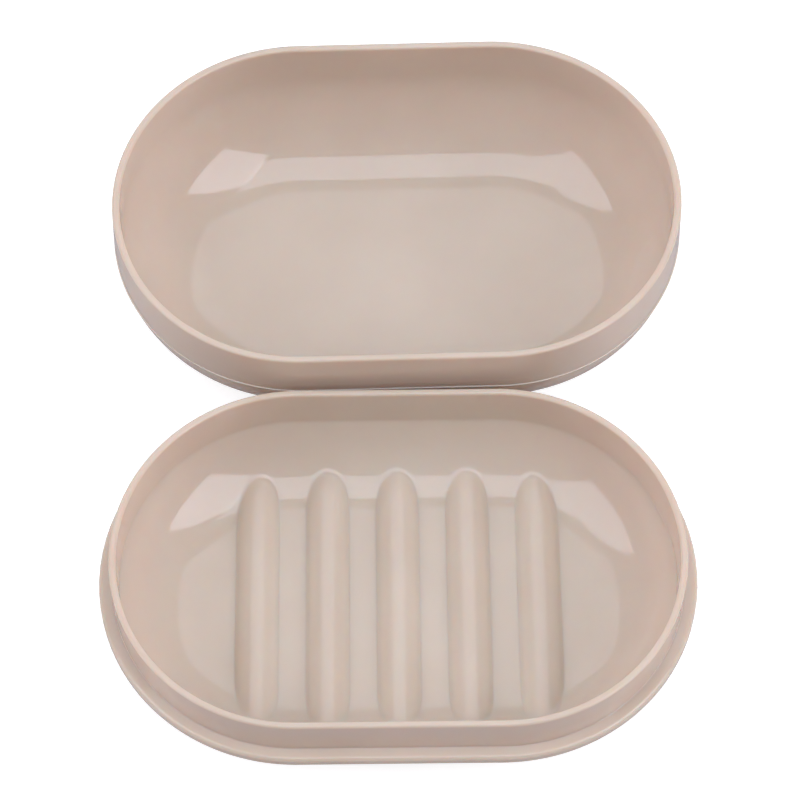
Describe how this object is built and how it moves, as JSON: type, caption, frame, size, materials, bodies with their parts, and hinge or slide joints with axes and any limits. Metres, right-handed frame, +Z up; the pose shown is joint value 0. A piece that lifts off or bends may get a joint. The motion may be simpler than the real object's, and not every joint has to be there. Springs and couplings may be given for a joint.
{
  "type": "travel soap box",
  "caption": "Oblong two-piece plastic soap box: ribbed tray with a spigot rim and seating flange, and a deep loose lid that slips over the spigot, lying open side up behind it.",
  "frame": {"origin": "middle of the footprint of the opened pair, on the table", "axes": "+Z up, +X along the long side of the box, +Y from the tray towards the lid that lies behind it"},
  "size_m": [0.1171, 0.1546, 0.0303],
  "materials": {
    "beige_plastic": "polished injection moulding, beige, slightly translucent"
  },
  "bodies": {
    "tray": {"base_tray": "beige_plastic"},
    "lid": {"lid": "beige_plastic"}
  },
  "joints": [
    {"name": "lid_lift", "type": "slide", "parent": "tray", "child": "lid", "axis": [0, 0, 1], "range_m": [0, 0.045]}
  ]
}
